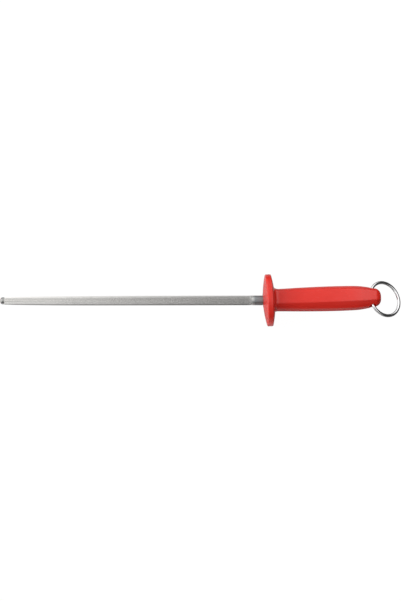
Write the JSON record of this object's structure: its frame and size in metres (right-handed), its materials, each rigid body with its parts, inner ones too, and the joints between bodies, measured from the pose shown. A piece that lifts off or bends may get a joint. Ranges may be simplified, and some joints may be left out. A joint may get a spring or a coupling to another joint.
{
  "type": "knife sharpening steel",
  "caption": "Butcher's steel: long round fluted rod, moulded handle with a round guard and a loose hanging ring in a cross hole at the butt.",
  "frame": {"origin": "on the rod's axis, at the handle end of the bare shank, just in front of the guard", "axes": "+X along the rod's axis from tip to handle, +Z square to the grip's broad flat, +Y along the ring's hole"},
  "size_m": [0.4603, 0.0598, 0.0596],
  "materials": {
    "fluted_steel": "satin, finely fluted along its length, with a polished nose",
    "moulded_handle": "satin moulded red plastic",
    "plated_wire": "bright plated"
  },
  "bodies": {
    "steel": {"rod": "fluted_steel", "handle": "moulded_handle"},
    "ring": {"hanging_ring": "plated_wire"}
  },
  "joints": [
    {"name": "ring_swing", "type": "hinge", "parent": "steel", "child": "ring", "pos_m": [0.1254, 0.00321, 0], "axis": [-0.0279, 0.9996, 0], "range_deg": [-174, 116]}
  ]
}
